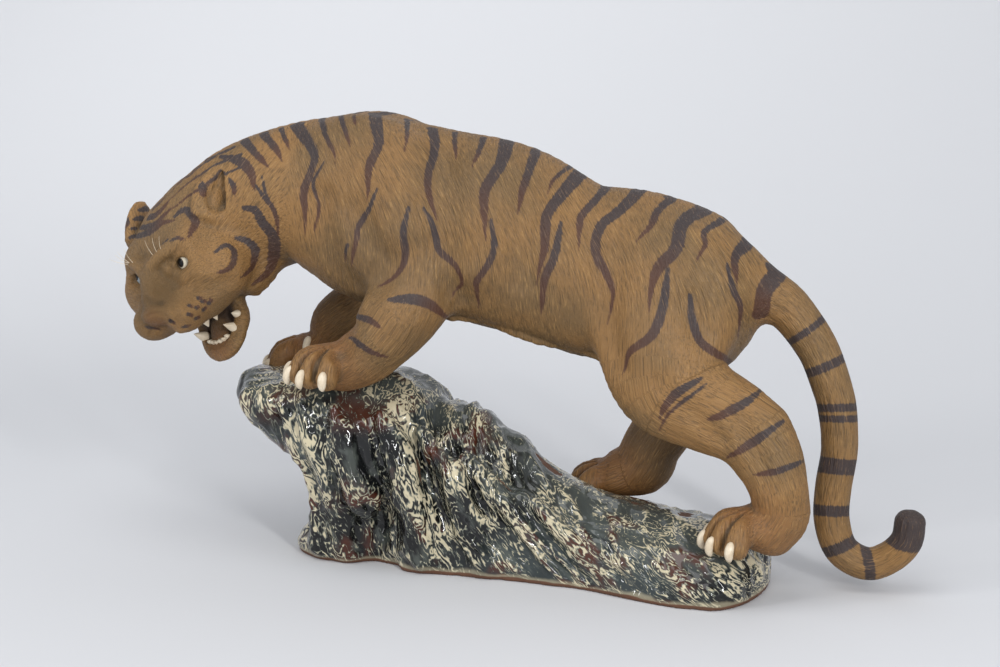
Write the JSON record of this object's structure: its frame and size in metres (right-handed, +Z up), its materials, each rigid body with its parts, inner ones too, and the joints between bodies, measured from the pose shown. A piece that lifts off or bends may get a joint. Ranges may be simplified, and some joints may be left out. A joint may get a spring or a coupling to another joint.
{
  "type": "tiger figurine",
  "caption": "Glazed stoneware tiger standing head down with open jaws on a sloping rock base, with clay eyes, teeth and claws, as a shelf or mantel ornament.",
  "frame": {"origin": "on the ground under the middle of the part's bounding box", "axes": "+X from head to tail, +Y to the tiger's right side, away from the viewer of the picture, +Z up"},
  "size_m": [0.415, 0.109, 0.2269],
  "materials": {
    "brown_stoneware": "matt tan-brown clay with painted stripes and combed fur",
    "marbled_glaze": "glossy black and grey-green glaze with cream veins, bare red-brown foot",
    "white_clay": "satin off-white clay",
    "eye_glaze": "glossy white with a dark pupil"
  },
  "bodies": {
    "root": {"tiger_body": "brown_stoneware", "rock_base": "marbled_glaze", "eye_left": "eye_glaze", "eye_right": "eye_glaze", "claw_near_front_1": "white_clay", "claw_near_front_2": "white_clay", "claw_near_front_3": "white_clay", "claw_near_front_4": "white_clay", "claw_far_front_1": "white_clay", "claw_far_front_2": "white_clay", "claw_far_front_3": "white_clay", "claw_far_front_4": "white_clay", "claw_near_hind_1": "white_clay", "claw_near_hind_2": "white_clay", "claw_near_hind_3": "white_clay", "claw_near_hind_4": "white_clay", "claw_far_hind_1": "white_clay", "claw_far_hind_2": "white_clay", "claw_far_hind_3": "white_clay", "claw_far_hind_4": "white_clay", "dewclaw_near_front": "white_clay", "dewclaw_far_front": "white_clay", "upper_canine_left": "white_clay", "upper_canine_right": "white_clay", "upper_premolar_left": "white_clay", "upper_premolar_right": "white_clay", "lower_canine_left": "white_clay", "lower_canine_right": "white_clay", "lower_molar_left": "white_clay", "lower_molar_right": "white_clay", "lower_incisors": "white_clay"}
  },
  "joints": []
}
